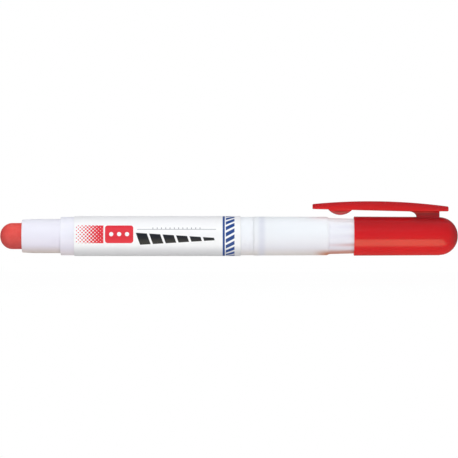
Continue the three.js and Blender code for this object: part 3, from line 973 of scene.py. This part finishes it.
def round_rectangle(low_a, high_a, low_b, high_b, low_radius, high_radius):
    """Points (a, b) of a rectangle with round corners, with their own radius towards high b."""
    points = []
    for corner, (side_a, side_b) in enumerate(((1, 1), (-1, 1), (-1, -1), (1, -1))):
        radius = high_radius if side_b > 0 else low_radius
        a = (high_a - radius) if side_a > 0 else (low_a + radius)
        b = (high_b - radius) if side_b > 0 else (low_b + radius)
        for i in range(CORNER_STEPS + 1):
            angle = math.pi / 2 * (corner + i / CORNER_STEPS)
            points.append((a + radius * math.cos(angle), b + radius * math.sin(angle)))
    return points


def lofted(rings):
    """Vertices and faces of a closed skin through rings of equal length."""
    vertices = [p for ring in rings for p in ring]
    n = len(rings[0])
    faces = []
    for i in range(len(rings) - 1):
        for j in range(n):
            k = (j + 1) % n
            faces.append((i * n + j, i * n + k, (i + 1) * n + k, (i + 1) * n + j))
    faces.append(tuple(reversed(range(n))))
    faces.append(tuple(range((len(rings) - 1) * n, len(rings) * n)))
    return vertices, faces


def bar_rings():
    """The clip's arched bar, with small round edges at both ends."""
    start = clip_low.x + CLIP_CORNER
    end = CLIP_REAR - CLIP_CORNER
    stations = []
    for i in range(CLIP_CORNER_RINGS + 1):
        angle = math.pi / 2 * i / CLIP_CORNER_RINGS
        stations.append((clip_low.x + CLIP_CORNER * (1 - math.cos(angle)), 1 - math.sin(angle)))
    for i in range(1, CLIP_RINGS + 1):
        stations.append((start + (end - start) * i / CLIP_RINGS, 0))
    for i in range(1, CLIP_CORNER_RINGS + 1):
        angle = math.pi / 2 * i / CLIP_CORNER_RINGS
        stations.append((end + CLIP_CORNER * math.sin(angle), 1 - math.cos(angle)))
    rings = []
    for x, drawn_in in stations:
        half = clip_half(max(x, clip_low.x + CLIP_BLUNT)) - CLIP_CORNER * drawn_in
        low = clip_underside(x) + CLIP_CORNER * drawn_in
        high = clip_top(x) - CLIP_CORNER * drawn_in
        most = CORNER_LIMIT * min(high - low, 2 * half)
        ring = round_rectangle(-half, half, low, high, min(CLIP_LOW_EDGE, most), min(CLIP_TOP_EDGE, most))
        rings.append([(x, y, z) for y, z in ring])
    return rings


def bump_rings():
    """A blister under the bar, round along the clip and across it."""
    centre = BUMP_LOW + BUMP_RADIUS
    reach = math.sqrt(BUMP_RADIUS ** 2 - (centre - clip_underside(BUMP_AT)) ** 2)
    rings = []
    for i in range(BUMP_RINGS + 1):
        x = BUMP_AT - reach * math.cos(math.pi * i / BUMP_RINGS)
        under = clip_underside(x)
        depth = under - centre + math.sqrt(BUMP_RADIUS ** 2 - (x - BUMP_AT) ** 2)
        depth = max(depth, BUMP_LEAST)
        ring = []
        for j in range(BUMP_STEPS + 1):
            angle = math.pi * j / BUMP_STEPS
            z = under - depth * math.sin(angle) ** BUMP_FULLNESS
            ring.append((x, -BUMP_HALF * math.cos(angle), z))
        ring.append((x, BUMP_HALF, under + UNION_DEPTH))
        ring.append((x, -BUMP_HALF, under + UNION_DEPTH))
        rings.append(ring)
    return rings


def pedestal_rings():
    """The foot between the cap and the bar, with its hollow front, wider where it meets either."""
    cap_top = AXIS + CAP_REAR_RADIUS
    high = UNDERSIDE_REAR + UNION_DEPTH
    rings = []
    for i in range(PEDESTAL_RINGS + 1):
        z = PEDESTAL_LOW + (high - PEDESTAL_LOW) * i / PEDESTAL_RINGS
        share = min(max((z - cap_top) / (UNDERSIDE_REAR - cap_top), 0), 1)
        front = PEDESTAL_FRONT - PEDESTAL_FILLET * (1 - math.sqrt(1 - share ** 2))
        flare = PEDESTAL_FLARE * (max(0, 1 - share * 4) ** 2 + max(0, share * 4 - 3) ** 2)
        half = PEDESTAL_HALF + flare
        ring = round_rectangle(front, PEDESTAL_REAR, -half, half, PEDESTAL_CORNER, PEDESTAL_CORNER)
        rings.append([(x, y, z) for x, y in ring])
    return rings


def outward(piece):
    """Turns the faces of a closed mesh to look outwards."""
    work = bmesh.new()
    work.from_mesh(piece.data)
    bmesh.ops.recalc_face_normals(work, faces=work.faces)
    work.to_mesh(piece.data)
    work.free()


def clip():
    """The bar, its bump and its foot, fused into one closed skin."""
    bar, bump, foot = [
        finished(name, *lofted(rings))
        for name, rings in (("clip", bar_rings()), ("bump", bump_rings()), ("foot", pedestal_rings()))
    ]
    outward(bar)
    for other in (bump, foot):
        outward(other)
        union = bar.modifiers.new(other.name, "BOOLEAN")
        union.operation = "UNION"
        union.solver = "EXACT"
        union.object = other
    depsgraph = bpy.context.evaluated_depsgraph_get()
    fused = bpy.data.meshes.new_from_object(bar.evaluated_get(depsgraph))
    bar.modifiers.clear()
    bar.data = fused
    for other in (bump, foot):
        bpy.data.objects.remove(other, do_unlink=True)
    fused.shade_smooth()
    fused.set_sharp_from_angle(angle=math.radians(CLIP_SHARP_ANGLE))
    return bar


# Assembly

def dress(piece, material, slot, body, *nodes):
    """Gives a piece its material, the body that it rides on and the nodes that it replaces. The slot is not
    used.
    """
    piece.data.materials.clear()
    piece.data.materials.append(material)
    if body:
        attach(piece, body)
    if nodes:
        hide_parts(*nodes)


barrel_white = white_plastic("white_barrel", BARREL_WHITE, BARREL_FLOW, barrel_tint)
knob_white = white_plastic("white_knob", KNOB_WHITE, KNOB_FLOW, knob_tint)
red = red_plastic("red_cap", cap_shade)
clip_red = red_plastic("red_clip", clip_shade)

dress(barrel_shell(), barrel_white, "white_plastic", "barrel", "barrel")
dress(label_sleeve(), label_film(), "label_film", "barrel", "label")
dress(stick(), paint_wax(), "paint_wax", "carriage", "paint_stick")
dress(knob_shell(), knob_white, "white_plastic", "knob", "twist_knob")
dress(cap_shell(), red, "red_plastic", "cap", "cap")

clip_piece = clip()
dress(clip_piece, clip_red, "red_plastic", None, "clip_arm")
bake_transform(clip_piece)

inner_plastic = natural_plastic("natural_inner", INNER_WHITE, INNER_CLOUD)
liner_plastic = natural_plastic("liner_inner", LINER_WHITE, LINER_CLOUD)
for node, material in (
    ("stick_carrier", inner_plastic),
    ("drive_screw", inner_plastic),
    ("cap_liner", liner_plastic),
):
    inner = frame["nodes"][node]
    inner.data.materials.clear()
    inner.data.materials.append(material)


# Floor, world, lamps and camera

WHITE = (1, 1, 1, 1)
PAPER = (0.9, 0.9, 0.9, 1)
WARM = (1.0, 0.9, 0.54, 1)
SKY = (0.96, 0.97, 1.0, 1)

FLOOR_HALF = 3.0
FLOOR_DROP = 8 * MM  # the marker is held above the floor, so its clip clears it when the knob is turned
PAPER_SEEN = 0.95
SHADOW_REACH = 200 * MM
GLOW_LEVEL = 0.14
GLOW_HALF = 9 * MM
GLOW_FADE = 7 * MM
POOL_SEEN = 0.9
POOL_LEVEL = 1.25
POOL_NEAR = 7.7 * MM
POOL_FAR = 48 * MM
POOL_NEAR_FADE = 6.6 * MM
POOL_FAR_FADE = 12.6 * MM
POOL_END = 70 * MM
POOL_END_FADE = 14 * MM
FAR_LEVEL = 0.1

AMBIENT = 0.66
CEILING = 0.65  # of the ambient light, straight above
ROOM_LEVEL = 0.12
SWEEP_TOP = 30
SWEEP_FADE = 14
SWEEP_SIDE = 0.35


def floor():
    """Pale paper, white to the camera but for the shadow, glowing a little near the marker as a painted
    soft light from below.

    In the marker's gloss it shows a painted warm pool of light in front.
    """
    mesh = bpy.data.meshes.new("floor")
    corners = [
        (side_x * FLOOR_HALF, side_y * FLOOR_HALF, -FLOOR_DROP)
        for side_x, side_y in ((-1, -1), (1, -1), (1, 1), (-1, 1))
    ]
    mesh.from_pydata(corners, [], [(0, 1, 2, 3)])
    piece = bpy.data.objects.new("floor", mesh)
    bpy.context.scene.collection.objects.link(piece)
    material = bpy.data.materials.new("floor_pale")
    f = Stage(material)
    place = f.split(f.texture_place("Object"))
    ahead = f.product(place[1], -1.0)
    beside = f.math("ABSOLUTE", ahead)
    along = f.math("ABSOLUTE", place[0])
    near = f.span(ahead, POOL_NEAR, POOL_NEAR + POOL_NEAR_FADE)
    far = f.span(ahead, POOL_FAR - POOL_FAR_FADE, POOL_FAR, 1.0, 0.0)
    ends = f.span(along, POOL_END, POOL_END + POOL_END_FADE, 1.0, 0.0)
    # painted warm pool of light, seen only in the gloss
    pool = f.total(f.product(near, far, ends, POOL_LEVEL), FAR_LEVEL)
    share_seen = f.span(f.largest(along, beside), SHADOW_REACH, 2 * SHADOW_REACH, PAPER_SEEN, 1.0)
    # the floor's glow near the marker, a painted soft light from below
    soft_light = f.span(beside, GLOW_HALF, GLOW_HALF + GLOW_FADE, GLOW_LEVEL, 0.0)
    matt = f.shader("ShaderNodeBsdfDiffuse", PAPER)
    paper = f.add(matt, f.shader("ShaderNodeEmission", WHITE, soft_light))
    glow = f.shader("ShaderNodeEmission", WHITE, 1.0)
    lit = f.shader("ShaderNodeEmission", WARM, pool)
    from_camera = f.blend(f.product(f.rays["Is Camera Ray"], share_seen), paper, glow)
    f.finish("ShaderNodeOutputMaterial", f.blend(f.product(f.mirrored(), POOL_SEEN), from_camera, lit))
    mesh.materials.append(material)


def world():
    """White all round for the camera, a white sweep behind the marker in its gloss, and a plain sky."""
    scene_world = bpy.data.worlds.new("studio")
    bpy.context.scene.world = scene_world
    f = Stage(scene_world)
    direction = f.split(f.texture_place("Generated"))
    elevation = f.math("ARCTAN2", direction[2], direction[1])
    low = math.radians(SWEEP_TOP - SWEEP_FADE)
    high = math.radians(SWEEP_TOP)
    sweep = f.span(f.math("ABSOLUTE", elevation), low, high, 1.0, 0.0)
    side = f.span(f.math("ABSOLUTE", direction[0]), SWEEP_SIDE / 3, SWEEP_SIDE, 1.0, 0.0)
    sweep = f.largest(f.product(sweep, side), ROOM_LEVEL)
    ambient = f.span(direction[2], 0.0, 1.0, AMBIENT, AMBIENT * CEILING)
    diffuse = f.less(1.0, f.mirrored())
    level = f.total(f.product(sweep, f.mirrored()), f.product(diffuse, ambient))
    level = f.largest(level, f.rays["Is Camera Ray"])
    colour = f.mix(f.rays["Is Camera Ray"], SKY, WHITE)
    f.finish("ShaderNodeOutputWorld", f.shader("ShaderNodeBackground", colour, level))


# Each lamp's name, place, size in metres, power in watts and colour

COOL_LIGHT = (0.99, 0.99, 1.0)
WARM_LIGHT = (1.0, 0.97, 0.94)
LAMPS = (
    ("key", (-0.15, -0.84, 0.66), (0.8, 0.5), 5.3, COOL_LIGHT),
    ("low_fill", (0.1, -0.8, 0.1), (1.0, 0.14), 0.5, WARM_LIGHT),
    ("top", (0, 0.1, 0.95), (0.9, 0.3), 1.5, COOL_LIGHT),
    ("back", (0.1, 1.02, 0.34), (0.8, 0.4), 3.6, COOL_LIGHT),
)


def lamp(name, place, size, watts, colour):
    """A rectangular lamp that faces the marker's middle and doesn't show in its gloss."""
    data = bpy.data.lights.new(name, "AREA")
    data.shape = "RECTANGLE"
    data.size, data.size_y = size
    data.energy = watts
    data.color = colour
    piece = bpy.data.objects.new(name, data)
    bpy.context.scene.collection.objects.link(piece)
    piece.location = place
    piece.rotation_euler = (Vector((0, 0, AXIS)) - Vector(place)).to_track_quat("-Z", "Y").to_euler()
    piece.visible_glossy = False


PICTURE = 458
MARKER_PIXELS = 457.7
AXIS_PIXEL = 236.05
SENSOR_WIDTH = 36.0
CAMERA_DISTANCE = 1.2


def camera():
    """Level with the marker and square to it, framed as the photograph is."""
    length = cad_box[1][0] - cad_box[0][0]
    pixel = length / MARKER_PIXELS
    data = bpy.data.cameras.new("camera")
    data.sensor_width = SENSOR_WIDTH
    data.lens = SENSOR_WIDTH * CAMERA_DISTANCE / (PICTURE * pixel)
    piece = bpy.data.objects.new("camera", data)
    bpy.context.scene.collection.objects.link(piece)
    height = AXIS + (AXIS_PIXEL - PICTURE / 2) * pixel
    piece.location = ((cad_box[0][0] + cad_box[1][0]) / 2, -CAMERA_DISTANCE, height)
    piece.rotation_euler = (math.pi / 2, 0, 0)
    bpy.context.scene.camera = piece


floor()
world()
for settings in LAMPS:
    lamp(*settings)
camera()
bpy.context.scene.view_settings.view_transform = "Standard"
